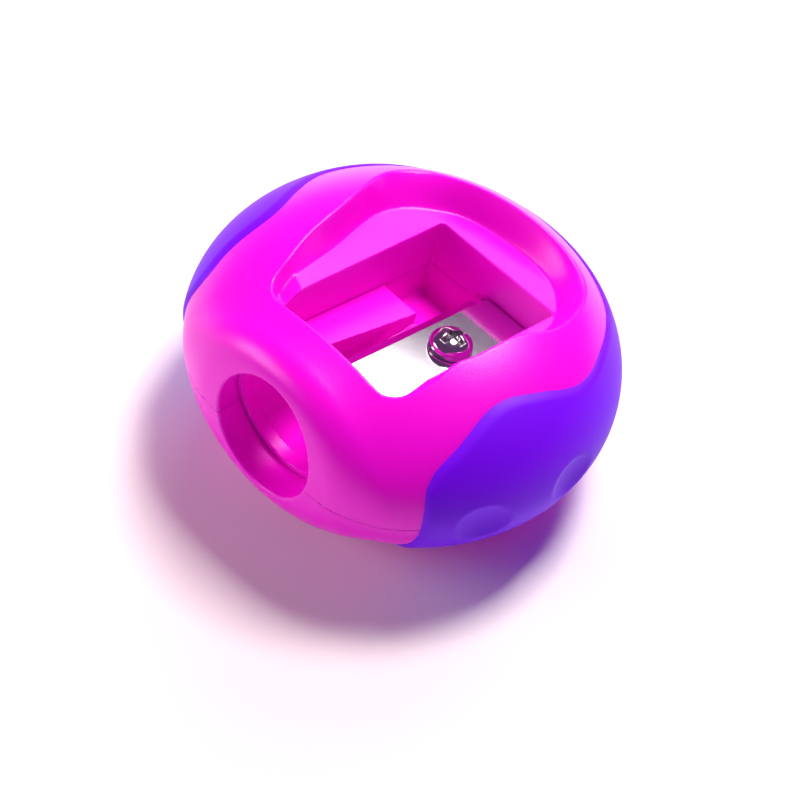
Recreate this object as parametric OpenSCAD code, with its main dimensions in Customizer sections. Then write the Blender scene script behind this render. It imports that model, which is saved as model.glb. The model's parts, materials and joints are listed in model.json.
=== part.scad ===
// Hand-held pencil sharpener for jumbo pencils: a rounded two-part plastic body with a
// soft grip band, and inside it a guide block that carries the blade and its screw.
// Frame: the pencil goes in along +Y through the mouth at the front (-Y), +X is to the
// right of the mouth, +Z is up. The origin is the middle of the base, on the surface that
// the sharpener stands on. Units are millimetres and degrees.

/* [Body] */
// Width of the rounded body at its widest, without the grip's stand-out
body_w = 40; // [36:0.5:46]
// Length from the front face to the back of the grip band
body_l = 35; // [33:0.5:39]
// Half length of the rounded form, as a share of the body's length
round_share = 0.526; // [0.515:0.001:0.54]
// Height from the flat base to the top of the dome
body_h = 21; // [20:0.5:24]
// Height of the flat base cut above the lowest point of the full rounded form
base_cut = 1; // [0.6:0.1:1.4]
// Wall of the two shells
shell_wall = 2.4; // [2.2:0.1:2.8]
// Width of the snout that holds the mouth
snout_w = 20; // [18:0.5:22]
// Height of the snout
snout_h = 16; // [15.4:0.2:16.8]
// Rounding of the snout's front edge
snout_round = 3; // [2:0.25:3.75]
// How far the front face leans back
face_lean = 11; // [4:1:13]

/* [Thumb recess] */
// Slope of the recess floor and of the blade, falling to the back
slope = 16; // [13:0.5:18]
// Half width of the recess floor in its front stretch
recess_front_half_w = 6.5; // [6:0.1:7]
// Half width of the recess floor at its widest
recess_back_half_w = 8.8; // [8:0.1:10]
// Distance of the recess's widest place behind the body's middle
recess_back = 3.2; // [2.4:0.1:3.6]
// Distance of the recess's front stretch ahead of the body's middle
recess_front = 3.6; // [3:0.1:4.2]
// How far the recess wall spreads outwards over the wall's height
recess_spread = 4; // [3.2:0.1:4.4]
// Thickness of the tray under the recess
tray_wall = 1.2; // [1:0.1:1.5]

/* [Pit] */
// Left side of the pit, from the middle
pit_left = 5.6; // [5:0.1:6.5]
// Right side of the pit, from the middle
pit_right = 8.7; // [8.6:0.1:9]
// Depth of the pit from the recess floor to the blade's bed
pit_depth = 4.2; // [3.5:0.05:4.6]
// Wall round the pit
pit_wall = 1.2; // [1:0.1:1.6]
// Distance of the pit's front wall ahead of the body's middle, at the blade
pit_front = 9.8; // [9.4:0.1:10]

/* [Pencil guide] */
// Height of the pencil's axis above the body's middle
axis_up = 1.6; // [1.2:0.1:2]
// Diameter of the mouth in the shells
mouth_d = 11.2; // [10.9:0.1:11.8]
// Diameter of the guide's straight entry
entry_d = 10.1; // [9.8:0.1:10.4]
// Length of the guide's straight entry
entry_l = 1.2; // [1:0.1:2]
// Diameter of the hole at the cone's tip
tip_d = 1.6; // [1:0.1:2.2]
// Thickness of the shells' front wall on the axis
front_wall = 1.6; // [1.4:0.1:2]
// Wall of the collar round the guide's entry
collar_wall = 0.5; // [0.4:0.05:0.6]
// Width of the shaving slot to the left of the middle
slot_left = 2.4; // [1.8:0.1:3]
// Depth of the ledge beside the slot below the blade's bed
ledge_drop = 0.5; // [0.3:0.1:1]
// Distance along the slope from the cone's start to the ledge's back edge
ledge_l = 17.1; // [16.5:0.1:18]
// Height of the guide block's underside above the base
block_z = 4.6; // [4.2:0.1:5.4]

/* [Blade and screw] */
// Length of the blade
blade_l = 20.5; // [19:0.5:20.5]
// Width of the blade
blade_w = 8; // [7:0.5:8]
// Thickness of the blade
blade_t = 0.5; // [0.4:0.05:0.8]
// Distance of the blade's back end behind the body's middle
blade_back = 9; // [8.5:0.1:9.2]
// Distance of the cutting edge to the right of the middle
blade_edge_x = 0.5; // [0.2:0.1:0.6]
// Width of the ground bevel along the cutting edge
bevel_w = 1; // [0.6:0.1:1.4]
// Distance from the blade's back end to the screw
screw_from_back = 7.7; // [6:0.1:10]
// Diameter of the screw's shank
screw_d = 2.9; // [2.5:0.1:3]
// Diameter of the screw's head
head_d = 4.2; // [3.8:0.1:5]
// Height of the screw's domed head
head_h = 1.7; // [1.4:0.1:2]
// Length of the screw below its head
screw_l = 5.4; // [4.5:0.1:6]

/* [Grip] */
// Thickness of the soft grip band
grip_t = 1.1; // [0.9:0.1:1.3]
// How far the band stands out of the shells
grip_proud = 0.2; // [0.1:0.05:0.4]
// Highest point of the wavy upper border above the body's middle
grip_top = 7.6; // [6.5:0.1:8]
// Height of the border at the back above the body's middle
grip_back = 2.9; // [2:0.1:4]
// Depth of the lower border below the body's middle
grip_low = 6.4; // [5:0.1:7]
// Distance of the band's front ends ahead of the body's middle
grip_reach = 12; // [11:0.1:12.5]
// Radius of the finger dimples
dimple_r = 2.9; // [2:0.1:3.2]
// Depth of the finger dimples
dimple_d = 0.45; // [0.2:0.05:0.6]

/* [Fits] */
// Clearance round the screw's shank in the block
shank_gap = 0.05; // [0.02:0.01:0.1]
// Clearance of the blade's hole round the screw
blade_hole_gap = 0.15; // [0.1:0.05:0.3]
// Clearance of the blade from the pit's walls
blade_gap = 0.15; // [0.1:0.05:0.3]
// Diameter of the pegs that locate the shells
peg_d = 2; // [1.6:0.1:2.4]
// Radial clearance of the pegs in their sockets
peg_gap = 0.05; // [0.02:0.01:0.1]

/* [Hidden] */
pink = "#f82ee0";
violet = "#8a10f8";
steel = "#c9ccd2";
$fn = 96;

half_w = body_w / 2;
half_h = (body_h + base_cut) / 2;
round_half_l = body_l * round_share;
mid_y = body_l / 2 - round_half_l - grip_proud;  // middle of the rounded form
mid_z = half_h - base_cut;
parting_z = mid_z;
axis_z = mid_z + axis_up;

// the front face's centre, placed so that the snout's most forward point is at -body_l / 2
face_y = -body_l / 2 + (snout_h / 2 - snout_round) * sin(face_lean)
    + snout_round * (1 - cos(face_lean));
guide_y = face_y + front_wall;                   // where the guide block starts
cone_y = guide_y + entry_l;                      // where its cone starts
cone_r = entry_d / 2;
bed_z = axis_z + cone_r;                         // the blade's bed, level with the cone there

// Distance along the slope, from the cone's start, of a place at y from the body's middle.
function along(y) = (mid_y + y - cone_y) / cos(slope);

blade_s1 = along(blade_back);
screw_x = blade_edge_x + blade_w / 2;
screw_s = blade_s1 - screw_from_back;
edge_free = 0.4;                                 // the cutting edge stands free of the bed
shave_edge_x = blade_edge_x + edge_free;
pit_s0 = along(-pit_front);
pit_s1 = blade_s1 + blade_gap;
pit_over = 4;                                    // the pit is cut this far above the floor
side_gap = 0.1;                                  // between the guide block and the shells
recess_lip = 0.6;                                // the recess starts this far ahead of the pit
recess_s0 = pit_s0 - recess_lip;
dimple_ys = [-7.3, 1.5];                         // places of the dimples from the body's middle
long = 80;                                       // reaches past the whole body

// ---- placing ---------------------------------------------------------------------------

// Local frame of the blade's bed: +Y runs down the slope to the back, +Z stands on the bed.
module on_bed() {
    translate([0, cone_y, bed_z]) rotate([-slope, 0, 0]) children();
}

// Everything on one side of a level plane.
module above(z) {
    translate([-long / 2, -long / 2, z]) cube([long, long, long]);
}

// ---- the body's outer form and the forms inside it -------------------------------------

module rounded_form(inset) {
    translate([0, mid_y, mid_z])
        scale([half_w - inset, round_half_l - inset, half_h - inset])
            rotate([0, 0, 90])
                sphere(r = 1);
}

// The snout: a barrel with a rounded front edge, wider than it is high, leaning back.
module snout(inset) {
    r = snout_h / 2 - inset;
    least_round = 0.6;
    edge = max(snout_round - inset, least_round);
    reach = 9;
    translate([0, face_y, axis_z])
        rotate([90 - face_lean, 0, 0])
            translate([0, 0, -reach])
                scale([(snout_w / 2 - inset) / r, 1, 1])
                    rotate([0, 0, -90]) rotate_extrude() {
                        square([r - edge, reach - inset]);
                        square([r, reach - inset - edge]);
                        translate([r - edge, reach - inset - edge]) circle(r = edge, $fn = 48);
                    }
}

// The leaning plane of the front face, with everything ahead of it.
module ahead_of_face(inset) {
    translate([0, face_y + inset, axis_z])
        rotate([-face_lean, 0, 0])
            translate([-long / 2, -long, -long / 2])
                cube([long, long, long]);
}

module body_form(inset) {
    intersection() {
        union() {
            difference() {
                rounded_form(inset);
                ahead_of_face(min(inset, front_wall));
            }
            snout(inset);
        }
        above(inset);
    }
}

// ---- the thumb recess and the pit ------------------------------------------------------

// One round stretch of the scoop: a cone that stands on the sloping floor and opens upwards.
module scoop(half, at_y, grow) {
    wall_h = 5;
    translate([0, along(at_y), -grow])
        cylinder(r1 = half + grow, r2 = half + grow + recess_spread, h = wall_h + grow);
}

// The scoop, from its sloping floor out through the dome.
module recess(grow = 0) {
    on_bed()
        translate([0, 0, pit_depth])
            intersection() {
                union() {
                    scoop(recess_front_half_w, -recess_front, grow);
                    scoop(recess_back_half_w, recess_back, grow);
                }
                translate([-long / 2, recess_s0 - grow, -long / 2]) cube([long, long, long]);
            }
}

// The pit as a block that stands square on the bed.
module pit(grow, low, high) {
    on_bed()
        translate([-pit_left - grow, pit_s0 - grow, low])
            cube([pit_left + pit_right + 2 * grow, pit_s1 - pit_s0 + 2 * grow, high - low]);
}

// ---- the grip band's outline -----------------------------------------------------------

crest = -1;                                      // the border is highest just ahead of the middle
fall_l = 20;                                     // and reaches its lowest this far behind that
fall_power = 1.2;
function wave(y) =
    grip_back + (grip_top - grip_back) * pow((1 + cos(180 * (y - crest) / fall_l)) / 2, fall_power);

module grip_side() {
    end_y = round_half_l + 1;
    nose = [for (a = [0 : 12 : 84]) [crest - (grip_reach + crest) * cos(a), grip_top * sin(a)]];
    tail = [for (i = [0 : 12]) let (y = crest + (end_y - crest) * i / 12) [y, wave(y)]];
    heel = [[end_y, -grip_low], [-grip_reach, -grip_low]];
    polygon(concat(nose, tail, heel));
}

module grip_zone() {
    end_x = half_w * sqrt(1 - pow(grip_reach / round_half_l, 2));
    difference() {
        translate([long / 2, mid_y, mid_z])
            rotate([90, 0, -90])
                linear_extrude(height = long)
                    mirror([1, 0])
                        grip_side();
        // the front ends lie in planes through the form's upright middle line
        translate([0, mid_y, -1])
            linear_extrude(height = body_h + 2)
                polygon([[0, 0], [-long * end_x / grip_reach, -long], [long * end_x / grip_reach, -long]]);
    }
}

module grip_bed() {
    difference() {
        grip_zone();
        rounded_form(grip_t);
    }
}

// One shallow dimple for a finger tip, square to the body's side at y.
module dimple(side, y) {
    ball_r = (dimple_r * dimple_r + dimple_d * dimple_d) / (2 * dimple_d);
    x = half_w * sqrt(1 - pow(y / round_half_l, 2));
    turn = atan2(y / pow(round_half_l, 2), x / pow(half_w, 2));
    out = ball_r + grip_proud - dimple_d;
    translate([side * (x + out * cos(turn)), mid_y + y + out * sin(turn), mid_z])
        sphere(r = ball_r);
}

// ---- pegs and posts --------------------------------------------------------------------

peg_in = 5.4;                                    // the pegs stand this far in from the side
peg_x = half_w - peg_in;
peg_ys = [-4, 4.5];
boss_wall = 1.2;
boss_d = peg_d + 2 * boss_wall;
peg_l = 2.5;
peg_free = 0.5;                                  // free depth under a peg's end
module at_pegs() {
    for (side = [-1, 1])
        for (y = peg_ys)
            translate([side * peg_x, mid_y + y, parting_z]) children();
}

post_d = 3.5;
post_mid = [1, -2];
post_spread = [5, 7];
module at_posts() {
    for (side = [-1, 1])
        for (end = [-1, 1])
            translate([post_mid[0] + side * post_spread[0], mid_y + post_mid[1] + end * post_spread[1], 0])
                children();
}

module mouth() {
    translate([0, -body_l, axis_z])
        rotate([-90, 0, 0])
            cylinder(d = mouth_d, h = body_l + guide_y);
}

// The collar that stands round the guide's entry, against the inside of the front wall.
module collar(gap) {
    collar_l = entry_l + 0.8;
    translate([0, guide_y, axis_z])
        rotate([-90, 0, 0])
            cylinder(r = cone_r + collar_wall + gap, h = collar_l + gap);
}

// Room for the blade's front end, which lies under the dome ahead of the pit.
module blade_room() {
    on_bed()
        translate([blade_edge_x - blade_gap, blade_s1 - blade_l - blade_gap, -blade_gap])
            cube([blade_w + 2 * blade_gap, blade_l, blade_t + 2 * blade_gap]);
}

// The hollow of the two shells, behind the flat inside of the front wall.
module hollow() {
    intersection() {
        body_form(shell_wall);
        translate([-long / 2, guide_y, 0]) cube([long, long, long]);
    }
}

// ---- the pieces ------------------------------------------------------------------------

module upper_shell() {
    color(pink)
    difference() {
        union() {
            intersection() {
                body_form(0);
                above(parting_z);
            }
            at_pegs() translate([0, 0, -peg_l]) cylinder(d = peg_d, h = peg_l + 1);
        }
        // the hollow, less the tray, the well round the pit and the bosses of the pegs
        difference() {
            hollow();
            recess(tray_wall);
            pit(pit_wall, blade_t + blade_gap, pit_depth);
            at_pegs() cylinder(d = boss_d, h = body_h);
        }
        recess();
        pit(0, -1, pit_depth + pit_over);
        blade_room();
        collar(side_gap);
        mouth();
        grip_bed();
    }
}

module base_shell() {
    color(pink)
    difference() {
        difference() {
            body_form(0);
            above(parting_z);
        }
        // the hollow, less the posts of the guide block and the bosses with the pegs' sockets
        difference() {
            hollow();
            at_pegs()
                difference() {
                    translate([0, 0, -body_h]) cylinder(d = boss_d, h = body_h);
                    translate([0, 0, -peg_l - peg_free])
                        cylinder(d = peg_d + 2 * peg_gap, h = peg_l + 1);
                }
            at_posts() cylinder(d = post_d, h = block_z);
        }
        collar(side_gap);
        mouth();
        grip_bed();
    }
}

// The guide block: the cone for the pencil, the bed for the blade, the slot between the
// cutting edge and the ledge, and the pocket behind the ledge.
module sharpener_core() {
    slot_start = 0.6;
    ledge_start = 1;
    pilot_end = 0.4;
    left_x = -pit_left - pit_wall;
    right_x = pit_right + pit_wall;
    color(pink)
    difference() {
        union() {
            intersection() {
                translate([left_x, guide_y, block_z])
                    cube([right_x - left_x, entry_l + pit_s1 * cos(slope) + pit_wall, body_h]);
                on_bed()
                    translate([-long / 2, -long / 2, -long])
                        cube([long, long, long]);
                body_form(shell_wall + side_gap);
            }
            collar(0);
        }
        // straight entry, cone and tip hole
        translate([0, guide_y, axis_z])
            rotate([-90, 0, 0]) {
                translate([0, 0, -1]) cylinder(d = entry_d, h = entry_l + 1);
                translate([0, 0, entry_l])
                    cylinder(r1 = cone_r, r2 = 0, h = cone_r / tan(slope));
                cylinder(d = tip_d, h = body_l);
            }
        // the shaving slot over the cone
        translate([-slot_left, cone_y + slot_start, axis_z])
            cube([slot_left + shave_edge_x, ledge_l * cos(slope), body_h]);
        // the ledge, a little lower than the bed
        on_bed()
            translate([-long, ledge_start, -ledge_drop])
                cube([long - slot_left, long, long]);
        // the pocket behind the ledge
        on_bed()
            translate([-pit_left, ledge_l, -pit_depth])
                cube([pit_left + shave_edge_x, pit_s1 - ledge_l, body_h]);
        // the screw's pilot hole
        on_bed()
            translate([screw_x, screw_s, -screw_l - pilot_end])
                cylinder(r = screw_d / 2 + shank_gap, h = screw_l + 1);
    }
}

module blade() {
    color(steel)
    on_bed()
        difference() {
            translate([blade_edge_x, blade_s1 - blade_l, 0])
                cube([blade_w, blade_l, blade_t]);
            // the ground bevel, down to the cutting edge on the bed's side
            translate([blade_edge_x, blade_s1 - blade_l - 1, 0])
                rotate([0, -atan2(blade_t, bevel_w), 0])
                    translate([-bevel_w, 0, 0])
                        cube([3 * bevel_w, blade_l + 2, 1]);
            translate([screw_x, screw_s, -1])
                cylinder(r = screw_d / 2 + blade_hole_gap, h = blade_t + 2);
        }
}

module blade_screw() {
    flatter = 1.15;
    dome_r = flatter * (head_d * head_d / 4 + head_h * head_h / 4) / head_h;
    recess_depth = 0.9;
    slot_w = 0.7;
    slot_l = 2.4;
    color(steel)
    on_bed()
        translate([screw_x, screw_s, blade_t])
            difference() {
                union() {
                    intersection() {
                        cylinder(d = head_d, h = head_h);
                        translate([0, 0, head_h - dome_r]) sphere(r = dome_r);
                    }
                    translate([0, 0, -screw_l]) cylinder(d = screw_d, h = screw_l + 0.5);
                }
                for (turn = [0, 90])
                    rotate([0, 0, turn])
                        translate([-slot_l / 2, -slot_w / 2, head_h - recess_depth])
                            cube([slot_l, slot_w, head_h]);
            }
}

module grip_band() {
    color(violet)
    difference() {
        intersection() {
            grip_zone();
            rounded_form(-grip_proud);
        }
        rounded_form(grip_t);
        for (side = [-1, 1])
            for (y = dimple_ys)
                dimple(side, y);
    }
}

upper_shell();
base_shell();
sharpener_core();
blade();
blade_screw();
grip_band();
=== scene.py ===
import json
import math

import bmesh
import bpy
import numpy as np
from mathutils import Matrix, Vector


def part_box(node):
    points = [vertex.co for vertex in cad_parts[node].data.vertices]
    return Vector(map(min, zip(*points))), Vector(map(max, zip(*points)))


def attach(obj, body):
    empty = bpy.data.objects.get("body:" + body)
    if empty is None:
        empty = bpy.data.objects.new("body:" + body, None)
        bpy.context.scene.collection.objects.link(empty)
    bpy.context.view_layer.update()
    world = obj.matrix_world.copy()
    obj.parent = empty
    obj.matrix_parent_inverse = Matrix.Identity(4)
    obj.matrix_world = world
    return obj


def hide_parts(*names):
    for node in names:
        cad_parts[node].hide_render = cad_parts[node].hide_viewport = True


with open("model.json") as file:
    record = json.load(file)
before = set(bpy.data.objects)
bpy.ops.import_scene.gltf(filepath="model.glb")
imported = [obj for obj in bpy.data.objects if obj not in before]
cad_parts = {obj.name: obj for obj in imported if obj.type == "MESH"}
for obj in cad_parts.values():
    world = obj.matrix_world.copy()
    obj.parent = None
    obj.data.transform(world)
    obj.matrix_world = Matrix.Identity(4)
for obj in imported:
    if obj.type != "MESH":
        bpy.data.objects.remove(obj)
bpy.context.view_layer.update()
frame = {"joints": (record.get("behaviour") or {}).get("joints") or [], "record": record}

import openvdb as vdb
from mathutils import Matrix, Vector

# Frame: metres, +Z up, the pencil goes in along +Y, +X to the right of the mouth. The forms of
# the moulded pieces are worked out in millimetres from the middle of the rounded body.

# ---- Base shell ------------------------------------------------------------------------
# The lower half of the housing, injection moulded in magenta ABS with walls of 2.4 mm. Its flat
# underside is what the sharpener stands on, and the upper shell's pegs press into its bosses.

MM = 0.001
HALF_AXES = np.array([20.0, 18.4, 11.0])  # the rounded body, an ellipsoid
CAD_PROUD = 0.2  # the grip band's stand-out in the frame


def cad_box(node):
    """Lowest and highest corner of a CAD node, in millimetres in the row frame."""
    low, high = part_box(node)
    return np.array(low) / MM, np.array(high) / MM


MIDDLE = np.array(
    [0.0, cad_box("grip_band")[1][1] - HALF_AXES[1] - CAD_PROUD, cad_box("base_shell")[1][2]]
)


def from_middle(metres):
    """A place of the row frame in metres, as millimetres from the body's middle."""
    return np.array(metres) / MM - MIDDLE


def round_max(a, b, radius):
    """The part common to two forms, with their shared edge rounded."""
    rounded = np.hypot(np.maximum(a + radius, 0), np.maximum(b + radius, 0))
    return np.minimum(-radius, np.maximum(a, b)) + rounded


def smooth_min(a, b, reach):
    """Two forms as one, with a fillet where they meet."""
    near = np.maximum(reach - np.abs(a - b), 0) / reach
    return np.minimum(a, b) - near * near * reach / 4


def ellipsoid(x, y, z, inset=0.0):
    """Distance to the rounded body's ellipsoid, moved in by inset."""
    a, b, c = HALF_AXES - inset
    k0 = np.sqrt((x / a) ** 2 + (y / b) ** 2 + (z / c) ** 2)
    k1 = np.sqrt((x / a**2) ** 2 + (y / b**2) ** 2 + (z / c**2) ** 2)
    return k0 * (k0 - 1) / np.maximum(k1, 1e-6)


BORE = next(m for m in frame["record"]["mounts"] if m["name"] == "pencil_bore")
BORE_R = BORE["dims"]["r_mm"]
BORE_L = BORE["dims"]["length_mm"]
AXIS_Z = from_middle(BORE["pos_m"])[2]
GUIDE_Y = from_middle(BORE["pos_m"])[1] - BORE_L / 2
CONE_Y = GUIDE_Y + BORE_L
FRONT_WALL = 1.6
FACE_Y = GUIDE_Y - FRONT_WALL
FACE_LEAN = math.radians(11)
SNOUT_HALF = (10.2, 8.0)
SNOUT_L = 9.0
SNOUT_ROUND = 2.2
FACE_ROUND = 1.8
BASE_Z = -MIDDLE[2]
BASE_ROUND = 0.8
SNOUT_FILLET = 2.4  # reach of the fillet between the snout and the dome
LEAST_ROUND = 0.5  # roundings on the inside of the walls
LEAST_BASE_ROUND = 0.3


def body(x, y, z, inset=0.0):
    """The housing's outer form: the ellipsoid, cut by the leaning face, and the snout."""
    ahead = (z - AXIS_Z) * math.sin(FACE_LEAN) - (y - FACE_Y) * math.cos(FACE_LEAN)
    ahead = ahead + min(inset, FRONT_WALL)
    across = (y - FACE_Y) * math.sin(FACE_LEAN) + (z - AXIS_Z) * math.cos(FACE_LEAN)
    squeeze = SNOUT_HALF[1] / SNOUT_HALF[0]
    barrel = np.hypot(x * squeeze, across) - SNOUT_HALF[1] + inset
    snout = round_max(barrel, ahead, max(SNOUT_ROUND - inset, LEAST_ROUND))
    snout = np.maximum(snout, -ahead - SNOUT_L)
    dome = round_max(ellipsoid(x, y, z, inset), ahead, max(FACE_ROUND - inset, LEAST_ROUND))
    whole = smooth_min(dome, snout, SNOUT_FILLET)
    return round_max(whole, BASE_Z - z + inset, max(BASE_ROUND - inset, LEAST_BASE_ROUND))


SHELL_WALL = 2.4
MOUTH_R = 5.7
MOUTH_ROUND = 0.28
MOUTH_END = 2.0  # the mouth's cut runs on into the room inside
INNER_ROUND = 0.02
COLLAR_WALL = 1.2
COLLAR_L = BORE_L + 0.8
SIDE_GAP = 0.1


def collar(x, y, z, gap=0.0):
    """The core's collar round the bore's entry."""
    radial = np.hypot(x, z - AXIS_Z) - BORE_R - COLLAR_WALL - gap
    return np.maximum(radial, np.maximum(GUIDE_Y - y, y - GUIDE_Y - COLLAR_L - gap))


def hollow(x, y, z):
    """The room inside the two shells, behind the flat inside of the front wall."""
    room = np.maximum(body(x, y, z, SHELL_WALL), GUIDE_Y - y)
    return np.minimum(room, collar(x, y, z, SIDE_GAP))


def mouth(x, y, z):
    """The round mouth through the front wall."""
    return np.maximum(np.hypot(x, z - AXIS_Z) - MOUTH_R, y - GUIDE_Y - MOUTH_END)


def smooth_outline(points, steps=6):
    """A closed curve through the points."""
    knots = np.array(points, float)
    before, after = np.roll(knots, 1, 0), np.roll(knots, -1, 0)
    beyond = np.roll(knots, -2, 0)
    curve = []
    for t in np.arange(steps) / steps:
        curve.append(
            knots
            + t * (after - before) / 2
            + t**2 * (before - 2.5 * knots + 2 * after - beyond / 2)
            + t**3 * (1.5 * (knots - after) + (beyond - before) / 2)
        )
    return np.stack(curve, 1).reshape(-1, 2)


def outline_distance(outline, u, v):
    """Distance to a closed outline, negative inside."""
    nearest = np.full(u.shape, 1e9)
    inside = np.zeros(u.shape, bool)
    for (u0, v0), (u1, v1) in zip(outline, np.roll(outline, -1, 0)):
        du, dv = u1 - u0, v1 - v0
        along = np.clip(((u - u0) * du + (v - v0) * dv) / (du * du + dv * dv), 0, 1)
        nearest = np.minimum(nearest, np.hypot(u - u0 - along * du, v - v0 - along * dv))
        crosses = (v0 > v) != (v1 > v)
        if v1 != v0:
            inside ^= crosses & (u < u0 + (v - v0) * du / dv)
    return np.where(inside, -nearest, nearest)


MAP_STEP = 0.1
MAP_HALF = 23.0
map_axis = np.arange(-MAP_HALF, MAP_HALF + MAP_STEP / 2, MAP_STEP)
map_u, map_v = np.meshgrid(map_axis, map_axis, indexing="ij")


def read_map(table, u, v):
    """The value of a table over the plane, between its entries."""
    last = len(map_axis) - 2
    fu = np.clip((u + MAP_HALF) / MAP_STEP, 0, last + 0.999)
    fv = np.clip((v + MAP_HALF) / MAP_STEP, 0, last + 0.999)
    iu, iv = fu.astype(int), fv.astype(int)
    fu, fv = fu - iu, fv - iv
    low = table[iu, iv] * (1 - fv) + table[iu, iv + 1] * fv
    high = table[iu + 1, iv] * (1 - fv) + table[iu + 1, iv + 1] * fv
    return low * (1 - fu) + high * fu


# the grip band's border, seen from the side: (y, z) from the front end's foot, over the crest
GRIP_OUTLINE = [
    (-12.1, -4.1), (-11.8, 0.2), (-10.9, 3.3), (-9.9, 4.7), (-8.2, 5.8), (-4.0, 7.4),
    (-1.0, 7.7), (2.0, 7.0), (3.8, 6.3), (5.6, 5.6), (7.6, 5.1), (10.2, 4.7),
    (13.0, 3.9), (15.3, 3.1), (18.0, 2.8), (22.0, 2.8), (22.0, -6.4), (14.0, -6.4),
    (0.0, -6.4), (-8.0, -6.4), (-11.2, -5.8),
]
grip_map = outline_distance(smooth_outline(GRIP_OUTLINE), map_u, map_v)
GRIP_T = 1.1
GRIP_LAP = 0.35  # the band's lip laps over the shells' step by this much
EDGE_ROUND = 0.15


def grip_bed(x, y, z):
    """The step in the shells that the grip band fills."""
    return np.maximum(read_map(grip_map, y, z) + GRIP_LAP, -ellipsoid(x, y, z, GRIP_T))


def gradient(field, points):
    """The field's gradient at the points."""
    near = 0.01
    slopes = []
    for axis in range(3):
        shift = np.zeros(3)
        shift[axis] = near
        ahead, behind = points + shift, points - shift
        slopes.append((field(*ahead.T) - field(*behind.T)) / (2 * near))
    return np.stack(slopes, 1)


def moulded(name, field, low, high, step):
    """A piece whose surface is where the field is zero. Its points lie on the field exactly."""
    low, high = np.array(low, float), np.array(high, float)
    axes = [np.arange(a, b + step, step) for a, b in zip(low, high)]
    grid = vdb.FloatGrid(1.0)
    grid.copyFromArray(field(*np.meshgrid(*axes, indexing="ij")).astype(np.float32))
    points, quads = grid.convertToQuads(0.0)
    points = low + points.astype(float) * step
    for _ in range(4):
        slope = gradient(field, points)
        size = np.maximum((slope * slope).sum(1), 0.05)
        move = -slope * (field(*points.T) / size)[:, None]
        length = np.linalg.norm(move, axis=1, keepdims=True)
        points += move * np.minimum(1, 0.4 * step / np.maximum(length, 1e-9))
    normals = gradient(field, points)
    normals /= np.maximum(np.linalg.norm(normals, axis=1, keepdims=True), 1e-9)
    corners = points[quads]
    facing = np.cross(corners[:, 2] - corners[:, 0], corners[:, 3] - corners[:, 1])
    if (facing * normals[quads[:, 0]]).sum() < 0:
        quads = quads[:, ::-1]
    mesh = bpy.data.meshes.new(name)
    mesh.from_pydata(((points + MIDDLE) * MM).tolist(), [], quads.tolist())
    mesh.shade_smooth()
    mesh.normals_split_custom_set_from_vertices(normals.tolist())
    piece = bpy.data.objects.new(name, mesh)
    bpy.context.collection.objects.link(piece)
    return piece


PARTING_LAP = 0.14  # the two halves are let into each other by this much
PARTING_ROUND = 0.04
PEG_FREE = 0.05
PEG_SPARE = 0.5  # the socket is deeper than the peg is long
POST_FREE = 0.02
PEG_X = 14.6
PEG_YS = (-4.0, 4.5)
PEG_R = 1.0
BOSS_R = 2.2
PEG_L = 2.5
POST_R = 1.75
POSTS = ((-4.0, -9.0), (6.0, -9.0), (-4.0, 5.0), (6.0, 5.0))
BLOCK_Z = cad_box("sharpener_core")[0][2] - MIDDLE[2]


def base_form(x, y, z):
    inner = hollow(x, y, z)
    for side in (-1, 1):
        for peg_y in PEG_YS:
            radial = np.hypot(x - side * PEG_X, y - peg_y)
            socket = np.maximum(radial - PEG_R - PEG_FREE, -z - PEG_L - PEG_SPARE)
            inner = np.maximum(inner, -np.maximum(radial - BOSS_R, -socket))
    for post_x, post_y in POSTS:
        round_post = np.hypot(x - post_x, y - post_y) - POST_R
        post = np.maximum(round_post, z - BLOCK_Z + POST_FREE)
        inner = np.maximum(inner, -post)
    form = round_max(body(x, y, z), -mouth(x, y, z), MOUTH_ROUND)
    form = round_max(form, -inner, INNER_ROUND)
    form = round_max(form, -grip_bed(x, y, z), EDGE_ROUND)
    return round_max(form, z - PARTING_LAP / 2, PARTING_ROUND)


SHELL_STEP = 0.2
base_shell = moulded(
    "base_shell", base_form, (-20.6, -17.4, -10.6), (20.6, 19.0, 0.6), SHELL_STEP
)


def colour(code):
    """Linear colour from an sRGB hex code."""
    parts = [int(code[i : i + 2], 16) / 255 for i in (1, 3, 5)]
    linear = [c / 12.92 if c <= 0.04045 else ((c + 0.055) / 1.055) ** 2.4 for c in parts]
    return linear + [1.0]


def add(tree, kind, **settings):
    """One node of a material, with its properties set."""
    node = tree.nodes.new(kind)
    for key, value in settings.items():
        setattr(node, key, value)
    return node


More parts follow.
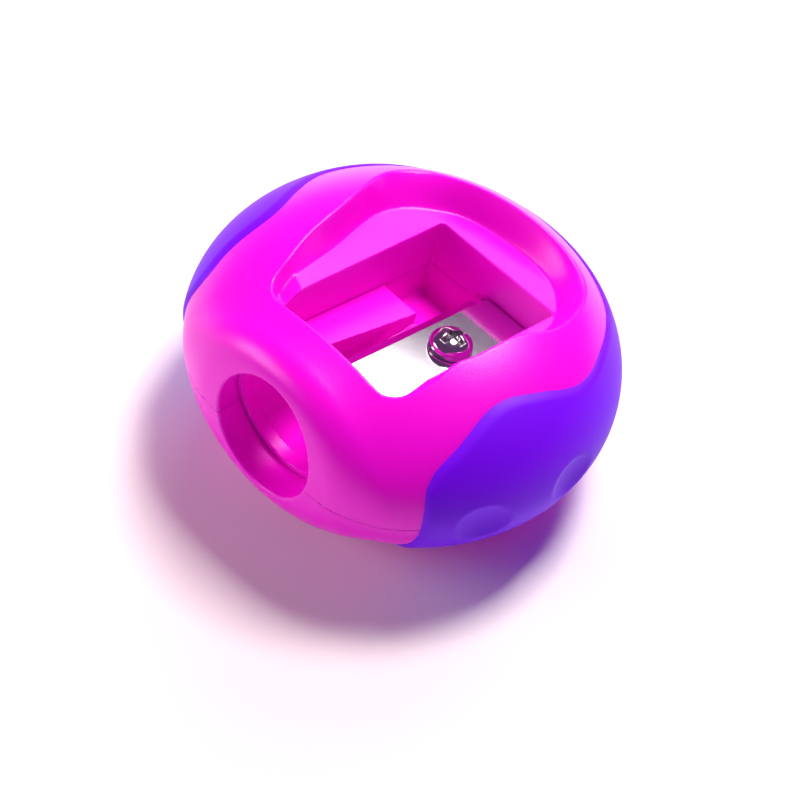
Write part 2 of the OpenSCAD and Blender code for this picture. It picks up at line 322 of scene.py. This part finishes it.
def plastic(name, code, sheen, roughness, glow, grain_mm, grain, subsurface):
    """A moulded plastic with a fine surface texture, lit a little from inside."""
    material = bpy.data.materials.new(name)
    material.use_nodes = True
    tree = material.node_tree
    shader = tree.nodes["Principled BSDF"]
    shader.inputs["Base Color"].default_value = colour(code)
    shader.inputs["Roughness"].default_value = roughness
    shader.inputs["IOR"].default_value = 1.53
    shader.inputs["Specular IOR Level"].default_value = sheen[0]
    shader.inputs["Specular Tint"].default_value = colour(sheen[1])
    shader.inputs["Subsurface Weight"].default_value = subsurface
    shader.inputs["Subsurface Radius"].default_value = glow
    shader.inputs["Subsurface Scale"].default_value = MM
    place = add(tree, "ShaderNodeTexCoord")
    noise = add(tree, "ShaderNodeTexNoise", noise_dimensions="3D")
    noise.inputs["Scale"].default_value = 1 / (grain_mm * MM)
    noise.inputs["Detail"].default_value = 3
    noise.inputs["Roughness"].default_value = 0.6
    bump = add(tree, "ShaderNodeBump")
    bump.inputs["Strength"].default_value = grain
    bump.inputs["Distance"].default_value = 0.02 * MM
    tree.links.new(place.outputs["Object"], noise.inputs["Vector"])
    tree.links.new(noise.outputs["Fac"], bump.inputs["Height"])
    tree.links.new(bump.outputs["Normal"], shader.inputs["Normal"])
    return material


# magenta ABS: glossy, slightly translucent, with the fine texture of a spark-eroded mould
magenta_abs = plastic(
    "Magenta ABS, spark-eroded", "#FA08E4",
    (0.45, "#FFC0F4"), 0.28, (1.6, 0.3, 1.8), 0.14, 0.75, 0.2,
)
base_shell.data.materials.append(magenta_abs)
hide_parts("base_shell")
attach(base_shell, "housing")

# ---- Sharpener core --------------------------------------------------------------------
# The guide block, moulded in the same magenta plastic: the tapered bore for the pencil, the
# sloping bed that the blade is screwed to, the shaving slot, and the ledge and pocket beside it.

joint = frame["joints"][0]
SEAT = from_middle(joint["pos_m"])  # where the screw's axis meets the bed
SLOPE = math.atan2(joint["axis"][1], joint["axis"][2])


def bed_frame(y, z):
    """(distance down the slope, height over the bed) from the screw's seat."""
    dy, dz = y - SEAT[1], z - SEAT[2]
    down = dy * math.cos(SLOPE) - dz * math.sin(SLOPE)
    over = dy * math.sin(SLOPE) + dz * math.cos(SLOPE)
    return down, over


def round_box(u, v, low, high, radius=0.0):
    """Distance to a rectangle with rounded corners."""
    du = np.maximum(low[0] - u, u - high[0]) + radius
    dv = np.maximum(low[1] - v, v - high[1]) + radius
    outside = np.hypot(np.maximum(du, 0), np.maximum(dv, 0))
    return np.minimum(np.maximum(du, dv), 0) + outside - radius


PIT_LOW = (-5.55, -12.0)
PIT_HIGH = (8.6, 7.85)
LEDGE_DROP = 0.7
LEDGE_LAP = 0.2  # the ledge's cut runs this far into the slot
SLOT_DEPTH = 1.3  # below the bore's axis
LEDGE_BACK = 1.85
SLOT_FRONT_X, SLOT_BACK_X = -2.75, -1.2
SLOT_START = -14.2
SHAVE_X = 0.9
SLOT_PAST = 0.5  # the slot runs this far into the pocket
POCKET_DEPTH = 4.0
BLOCK_LOW, BLOCK_HIGH = (-6.8, GUIDE_Y), (9.9, 10.3)
BLOCK_ROUND = 0.3
CORE_EDGE = 0.06
SLOT_EDGE = 0.08
TIP_R = 0.8  # the hole that lets the lead's tip out of the cone
PILOT_R = 1.5
PILOT_L = 5.8


def core_form(x, y, z):
    down, over = bed_frame(y, z)
    block = np.maximum(round_box(x, y, BLOCK_LOW, BLOCK_HIGH, BLOCK_ROUND), BLOCK_Z - z)
    block = round_max(block, over, CORE_EDGE)
    block = np.maximum(block, body(x, y, z, SHELL_WALL + SIDE_GAP))
    block = np.minimum(block, collar(x, y, z))
    radial = np.hypot(x, z - AXIS_Z)
    taper = radial - (BORE_R - (y - CONE_Y) * math.tan(SLOPE))
    bore = np.maximum(taper * math.cos(SLOPE), CONE_Y - y)
    bore = np.minimum(bore, np.maximum(radial - BORE_R, y - CONE_Y))
    bore = np.minimum(bore, radial - TIP_R)
    form = round_max(block, -bore, CORE_EDGE)
    share = np.clip((down - SLOT_START) / (LEDGE_BACK - SLOT_START), 0, 1)
    slot_x = SLOT_FRONT_X + (SLOT_BACK_X - SLOT_FRONT_X) * share
    slot = np.maximum(slot_x - x, x - SHAVE_X)
    slot = np.maximum(slot, np.maximum(SLOT_START - down, AXIS_Z - SLOT_DEPTH - z))
    slot = np.maximum(slot, down - LEDGE_BACK - SLOT_PAST)
    form = round_max(form, -slot, SLOT_EDGE)
    ledge = np.maximum(x - slot_x - LEDGE_LAP, -LEDGE_DROP - over)
    ledge = np.maximum(ledge, SLOT_START - down)
    form = round_max(form, -ledge, CORE_EDGE)
    pocket_low = (PIT_LOW[0] - 0.12, LEDGE_BACK)
    pocket_high = (SHAVE_X, PIT_HIGH[1] + 0.1)
    pocket = round_box(x, down, pocket_low, pocket_high, 0.25)
    pocket = round_max(pocket, -POCKET_DEPTH - over, 0.5)
    form = round_max(form, -pocket, SLOT_EDGE)
    pilot = np.maximum(np.hypot(x - SEAT[0], down) - PILOT_R, -over - PILOT_L)
    return np.maximum(form, -pilot)


CORE_STEP = 0.16
core = moulded(
    "sharpener_core", core_form, (-7.2, GUIDE_Y - 0.4, -6.0), (10.3, 10.8, 8.2), CORE_STEP
)
core.data.materials.append(magenta_abs)
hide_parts("sharpener_core")
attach(core, "housing")

# ---- Blade -----------------------------------------------------------------------------
# The ground steel blade, 8 mm wide and 0.5 mm thick, with its back corner cut off and one long
# edge ground to the cutting bevel. It lies on the core's bed and the screw holds it there.

BLADE_W = 8.0
BLADE_T = 0.5
BLADE_L = 20.5
BLADE_BACK = 7.7
EDGE_X = 0.5
GRIND = 1.0
CORNER = 1.1
HOLE_R = 1.6
HOLE_SIDES = 32
BED = Matrix.Translation(Vector(joint["pos_m"])) @ Matrix.Rotation(-SLOPE, 4, "X")


def blade_loop(bm, left, height):
    """The blade's outline and its screw hole at one height, as two loops of points."""
    back, front = BLADE_BACK, BLADE_BACK - BLADE_L
    right = EDGE_X + BLADE_W
    outline = [(left, front), (right, front), (right, back), (EDGE_X + CORNER + 0.5, back)]
    outline += [(EDGE_X + CORNER, back - 0.1), (left, back - CORNER - 0.1)]
    outer = [bm.verts.new(((x - SEAT[0]) * MM, y * MM, height * MM)) for x, y in outline]
    turns = [2 * math.pi * i / HOLE_SIDES for i in range(HOLE_SIDES)]
    ring = [(HOLE_R * math.cos(t), HOLE_R * math.sin(t)) for t in turns]
    hole = [bm.verts.new((x * MM, y * MM, height * MM)) for x, y in ring]
    return outer, hole


bm = bmesh.new()
levels = [blade_loop(bm, EDGE_X, 0.0), blade_loop(bm, EDGE_X + GRIND, BLADE_T)]
for loops in levels:
    rims = [bm.edges.new((loop[i - 1], loop[i])) for loop in loops for i in range(len(loop))]
    bmesh.ops.triangle_fill(bm, use_beauty=True, edges=rims)
for lower, upper in zip(*levels):
    for i in range(len(lower)):
        bm.faces.new((lower[i - 1], lower[i], upper[i], upper[i - 1]))
bmesh.ops.recalc_face_normals(bm, faces=bm.faces)
bm.transform(BED)
mesh = bpy.data.meshes.new("blade")
bm.to_mesh(mesh)
bm.free()
blade = bpy.data.objects.new("blade", mesh)
bpy.context.collection.objects.link(blade)
worn = blade.modifiers.new("worn edges", "BEVEL")
worn.affect = "EDGES"
worn.width = 0.025 * MM
worn.segments = 2
worn.profile = 0.5
worn.material = -1
worn.limit_method = "ANGLE"
worn.angle_limit = math.radians(25)

# ground steel: fine grinding lines run across the blade
steel = bpy.data.materials.new("Ground blade steel")
steel.use_nodes = True
tree = steel.node_tree
shader = tree.nodes["Principled BSDF"]
shader.inputs["Base Color"].default_value = colour("#E4E4E8")
shader.inputs["Metallic"].default_value = 1.0
shader.inputs["Roughness"].default_value = 0.09
place = add(tree, "ShaderNodeTexCoord")
stretch = add(tree, "ShaderNodeMapping")
stretch.inputs["Scale"].default_value = (0.4, 6.0, 1.0)
noise = add(tree, "ShaderNodeTexNoise", noise_dimensions="3D")
noise.inputs["Scale"].default_value = 1 / (0.3 * MM)
noise.inputs["Detail"].default_value = 2
bump = add(tree, "ShaderNodeBump")
bump.inputs["Strength"].default_value = 0.12
bump.inputs["Distance"].default_value = 0.004 * MM
tree.links.new(place.outputs["Object"], stretch.inputs["Vector"])
tree.links.new(stretch.outputs["Vector"], noise.inputs["Vector"])
tree.links.new(noise.outputs["Fac"], bump.inputs["Height"])
tree.links.new(bump.outputs["Normal"], shader.inputs["Normal"])
blade.data.materials.append(steel)
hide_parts("blade")
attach(blade, "housing")

# ---- Blade screw -----------------------------------------------------------------------
# The nickel-plated screw with a domed head and a cross recess. It passes through the blade's
# hole and bites into the core; turning it out frees the blade.

HEAD_R = 2.0
HEAD_H = 1.65
DOME_R = 2.6
SHANK_R = 1.45
SHANK_L = 5.4
CROSS_L = 1.4
CROSS_DEPTH = 0.95


def screw_form(x, y, z):
    down, over = bed_frame(y, z)
    across = x - SEAT[0]
    up = over - BLADE_T
    radial = np.hypot(across, down)
    dome = np.sqrt(radial**2 + (up - HEAD_H + DOME_R) ** 2) - DOME_R
    head = round_max(round_max(radial - HEAD_R, dome, 0.3), -up, 0.2)
    shank = np.maximum(np.maximum(radial - SHANK_R, up - 0.4), -up - SHANK_L)
    form = smooth_min(head, shank, 0.05)
    depth = up - HEAD_H + CROSS_DEPTH
    width = 0.22 + 0.16 * np.clip(depth / CROSS_DEPTH, 0, 1)
    reach = CROSS_L - 0.45 * np.clip(1 - depth / CROSS_DEPTH, 0, 1)
    for u, v in ((across, down), (down, across)):
        slot = np.maximum(np.maximum(np.abs(u) - width, np.abs(v) - reach), -depth)
        form = round_max(form, -slot, 0.07)
    return form


SCREW_STEP = 0.06
screw = moulded(
    "blade_screw", screw_form, SEAT + (-2.3, -3.7, -5.4), SEAT + (2.3, 2.9, 3.0), SCREW_STEP
)
# bright nickel plating over the steel screw
nickel = bpy.data.materials.new("Nickel-plated steel")
nickel.use_nodes = True
shader = nickel.node_tree.nodes["Principled BSDF"]
shader.inputs["Base Color"].default_value = colour("#C9C6CC")
shader.inputs["Metallic"].default_value = 1.0
shader.inputs["Roughness"].default_value = 0.1
screw.data.materials.append(nickel)
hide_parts("blade_screw")
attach(screw, "screw")

# ---- Upper shell -----------------------------------------------------------------------
# The upper half of the housing, moulded in the same magenta ABS: the dome with its thumb recess,
# whose sloping floor opens into the pit over the blade. Its pegs press into the base shell.

# the recess's upper rim and its floor, seen from above: (x, y)
RIM_OUTLINE = [
    (-5.2, -8.9), (-6.5, -8.6), (-7.5, -7.9), (-8.0, -7.0), (-8.4, -5.2), (-9.1, -2.3),
    (-9.6, 1.9), (-10.5, 5.5), (-11.2, 8.0), (-11.0, 10.1), (-9.5, 12.2), (-6.5, 13.8),
    (-3.3, 14.8), (1.2, 15.4), (4.3, 15.4), (7.5, 14.7), (9.5, 13.2), (10.9, 10.9),
    (11.7, 8.0), (11.5, 6.2), (10.7, 3.5), (10.2, -0.4), (9.6, -2.6), (9.6, -4.9),
    (9.3, -6.5), (8.9, -7.6), (8.0, -8.5), (7.0, -8.9), (4.0, -8.9), (-1.0, -8.9),
]
FLOOR_OUTLINE = [
    (-6.3, -8.2), (-6.9, -7.2), (-7.3, -5.4), (-7.7, -3.0), (-8.4, 0.4), (-9.3, 3.6),
    (-9.6, 6.3), (-8.7, 8.8), (-6.7, 11.2), (-4.9, 12.5), (-2.3, 13.2), (1.0, 13.5),
    (4.5, 13.2), (7.0, 12.0), (9.0, 10.0), (9.9, 8.0), (10.0, 6.5), (9.2, 4.0),
    (8.8, 0.0), (8.7, -4.0), (8.0, -7.0), (7.0, -8.2), (4.0, -8.6), (-1.0, -8.6),
]
FLOOR_BACK_Z = 4.35
FLOOR_BACK_Y = 10.2
FLOOR_FALL = 0.26
LEAST_RECESS = 1.25
CLIMB_CURVE = 1.2  # above 1, the wall leaves the floor in a curve


def dome_height(u, v):
    """Height of the housing's upper surface, found by halving."""
    low, high = np.zeros(u.shape), np.full(u.shape, HALF_AXES[2] + 1)
    for _ in range(16):
        mid = (low + high) / 2
        inside = body(u, v, mid) < 0
        low, high = np.where(inside, mid, low), np.where(inside, high, mid)
    return low


def softened(table, times):
    """A table with its sharp turns rounded off."""
    for _ in range(times):
        for axis in (0, 1):
            table = (np.roll(table, 1, axis) + 2 * table + np.roll(table, -1, axis)) / 4
    return table


dome_map = dome_height(map_u, map_v)
to_rim = outline_distance(smooth_outline(RIM_OUTLINE), map_u, map_v)
to_floor = outline_distance(smooth_outline(FLOOR_OUTLINE), map_u, map_v)
floor_map = FLOOR_BACK_Z + (FLOOR_BACK_Y - map_v) * FLOOR_FALL
floor_map = np.minimum(floor_map, dome_map - LEAST_RECESS)
climb = np.clip(to_floor / np.maximum(to_floor - to_rim, 0.05), 0, 1) ** CLIMB_CURVE
recess_map = np.where(
    to_rim < 0, floor_map + (dome_map - floor_map) * climb, dome_map + 2.0 * to_rim
)
recess_map = softened(recess_map, 3)
steep_u, steep_v = np.gradient(recess_map, MAP_STEP)
level_map = 1 / np.sqrt(1 + steep_u**2 + steep_v**2)
RIM_ROUND = 0.2
TRAY_WALL = 1.2
WELL_WALL = 1.2
PIT_EDGE = 0.12
RIM_TO_PIT = 0.1
BLADE_FREE = 0.15  # room ahead of the blade's front end, which lies under the wall
LANE_HALF = BLADE_W / 2 + BLADE_FREE
LANE_L = 2.0
OVER_FREE = 0.04
UNDER_FREE = 0.3
LEDGE_FREE = 0.03
BED_FREE = 0.02
PEG_TOP = 1.5


def pit_outline(x, y, down):
    """The pit's walls: square at the back, and within the recess's rim at the front."""
    square = round_box(x, down, PIT_LOW, PIT_HIGH, 0.15)
    return round_max(square, read_map(to_rim, x, y) + RIM_TO_PIT, 0.3)


def upper_form(x, y, z):
    down, over = bed_frame(y, z)
    above_recess = (z - read_map(recess_map, x, y)) * read_map(level_map, x, y)
    pit = pit_outline(x, y, down)
    well_foot = np.where(x < EDGE_X - 0.2, -LEDGE_DROP + LEDGE_FREE, BED_FREE)
    well = np.maximum(pit - WELL_WALL, well_foot - over)
    inner = np.maximum(hollow(x, y, z), above_recess + TRAY_WALL)
    inner = np.maximum(inner, -well)
    for side in (-1, 1):
        for peg_y in PEG_YS:
            inner = np.maximum(inner, BOSS_R - np.hypot(x - side * PEG_X, y - peg_y))
    form = round_max(body(x, y, z), -mouth(x, y, z), MOUTH_ROUND)
    form = round_max(form, above_recess, RIM_ROUND)
    form = round_max(form, -inner, INNER_ROUND)
    form = round_max(form, -grip_bed(x, y, z), EDGE_ROUND)
    form = round_max(form, np.minimum(-PARTING_LAP / 2 - z, well), PARTING_ROUND)
    form = round_max(form, -pit, PIT_EDGE)
    lane = np.maximum(np.abs(x - SEAT[0]) - LANE_HALF, down - PIT_LOW[1] - LANE_L)
    lane = np.maximum(lane, BLADE_BACK - BLADE_L - BLADE_FREE - down)
    lane = np.maximum(lane, np.maximum(over - BLADE_T - OVER_FREE, -UNDER_FREE - over))
    form = np.maximum(form, -lane)
    for side in (-1, 1):
        for peg_y in PEG_YS:
            peg = np.hypot(x - side * PEG_X, y - peg_y) - PEG_R
            form = np.minimum(form, np.maximum(np.maximum(peg, z - PEG_TOP), -z - PEG_L))
    return form


upper_shell = moulded(
    "upper_shell", upper_form, (-20.6, -17.4, -2.9), (20.6, 19.0, 11.4), SHELL_STEP
)
upper_shell.data.materials.append(magenta_abs)
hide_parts("upper_shell")
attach(upper_shell, "housing")

# ---- Grip band -------------------------------------------------------------------------
# The violet soft-touch band, moulded over the two shells in one horseshoe from the right of the
# mouth round the back to the left. It has two shallow dimples for the fingers on each side.

GRIP_PROUD = 0.28
GRIP_ROUND = 0.38
DIMPLE_R = 2.9
DIMPLE_D = 0.75
DIMPLE_EDGE = 0.12
BAND_LAP = 0.02  # the band reaches this far into the shells' step
DIMPLE_YS = (-7.3, 1.5)


def dimple_balls():
    """Centres and radius of the balls that press the dimples."""
    radius = (DIMPLE_R**2 + DIMPLE_D**2) / (2 * DIMPLE_D)
    balls = []
    for y in DIMPLE_YS:
        x = HALF_AXES[0] * math.sqrt(1 - (y / HALF_AXES[1]) ** 2)
        turn = math.atan2(y / HALF_AXES[1] ** 2, x / HALF_AXES[0] ** 2)
        out = radius + GRIP_PROUD - DIMPLE_D
        for side in (-1, 1):
            balls.append((side * (x + out * math.cos(turn)), y + out * math.sin(turn)))
    return balls, radius


balls, ball_r = dimple_balls()


def grip_form(x, y, z):
    form = round_max(ellipsoid(x, y, z, -GRIP_PROUD), read_map(grip_map, y, z), GRIP_ROUND)
    form = np.maximum(form, -ellipsoid(x, y, z, GRIP_T - BAND_LAP))
    for ball_x, ball_y in balls:
        ball = np.sqrt((x - ball_x) ** 2 + (y - ball_y) ** 2 + z**2) - ball_r
        form = round_max(form, -ball, DIMPLE_EDGE)
    return form


grip_band = moulded("grip_band", grip_form, (-21.0, -14.0, -7.2), (21.0, 19.4, 8.6), SHELL_STEP)
# violet thermoplastic elastomer: softer sheen than the shells
violet_tpe = plastic(
    "Violet soft-touch elastomer", "#7800FF",
    (0.3, "#D8B4FF"), 0.5, (0.8, 0.2, 1.6), 0.12, 0.25, 0.15,
)
grip_band.data.materials.append(violet_tpe)
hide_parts("grip_band")
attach(grip_band, "housing")

# ---- Floor, light and camera -----------------------------------------------------------
# A plain white table, a soft light overhead, a panel low behind on the left that shows in the
# sloping faces, and one at the front left.

bm = bmesh.new()
bmesh.ops.create_grid(bm, x_segments=1, y_segments=1, size=3.0)
mesh = bpy.data.meshes.new("floor")
bm.to_mesh(mesh)
bm.free()
floor = bpy.data.objects.new("floor", mesh)
bpy.context.collection.objects.link(floor)
table_white = bpy.data.materials.new("Matt white table")
table_white.use_nodes = True
shader = table_white.node_tree.nodes["Principled BSDF"]
shader.inputs["Base Color"].default_value = colour("#F6F5F7")
shader.inputs["Roughness"].default_value = 0.7
shader.inputs["Specular IOR Level"].default_value = 0.2
floor.data.materials.append(table_white)

world = bpy.data.worlds.new("studio")
world.use_nodes = True
world.node_tree.nodes["Background"].inputs["Color"].default_value = (0.78, 0.3, 0.9, 1.0)
world.node_tree.nodes["Background"].inputs["Strength"].default_value = 0.19
bpy.context.scene.world = world
bpy.context.scene.view_settings.view_transform = "Standard"

centre = Vector(MIDDLE * MM)


def panel(name, direction, distance, size, watts, tint):
    """A soft rectangular light that faces the body's middle."""
    light = bpy.data.lights.new(name, "AREA")
    light.shape = "RECTANGLE"
    light.size, light.size_y = size
    light.energy = watts
    light.color = colour(tint)[:3]
    lamp = bpy.data.objects.new(name, light)
    way = Vector(direction).normalized()
    turn = way.to_track_quat("Z", "Y").to_matrix().to_4x4()
    lamp.matrix_world = Matrix.Translation(centre + way * distance) @ turn
    bpy.context.collection.objects.link(lamp)


panel("overhead", (-0.02, 0.55, 1.0), 0.42, (0.12, 0.12), 2.1, "#FFF4EC")
panel("low behind", (-0.44, 0.77, 0.69), 0.40, (0.24, 0.14), 0.5, "#FFF8F4")
panel("front left", (-0.62, -0.62, 0.34), 0.40, (0.20, 0.14), 0.75, "#FFF0E6")

AZIMUTH, ELEVATION = math.radians(47.5), math.radians(53)
CAMERA_DISTANCE = 255 * MM
FRAMING_DROP = 4.4 * MM
level = math.cos(ELEVATION)
look = Vector(
    (-math.sin(AZIMUTH) * level, math.cos(AZIMUTH) * level, -math.sin(ELEVATION))
)
right = Vector((math.cos(AZIMUTH), math.sin(AZIMUTH), 0.0))
up = right.cross(look)
camera = bpy.data.objects.new("camera", bpy.data.cameras.new("camera"))
camera.data.lens = 130.5
camera.data.sensor_width = 36.0
camera.data.clip_start = 0.01
turn = Matrix((right, up, -look)).transposed().to_4x4()
stand = centre - up * FRAMING_DROP - look * CAMERA_DISTANCE
camera.matrix_world = Matrix.Translation(stand) @ turn
bpy.context.collection.objects.link(camera)
bpy.context.scene.camera = camera
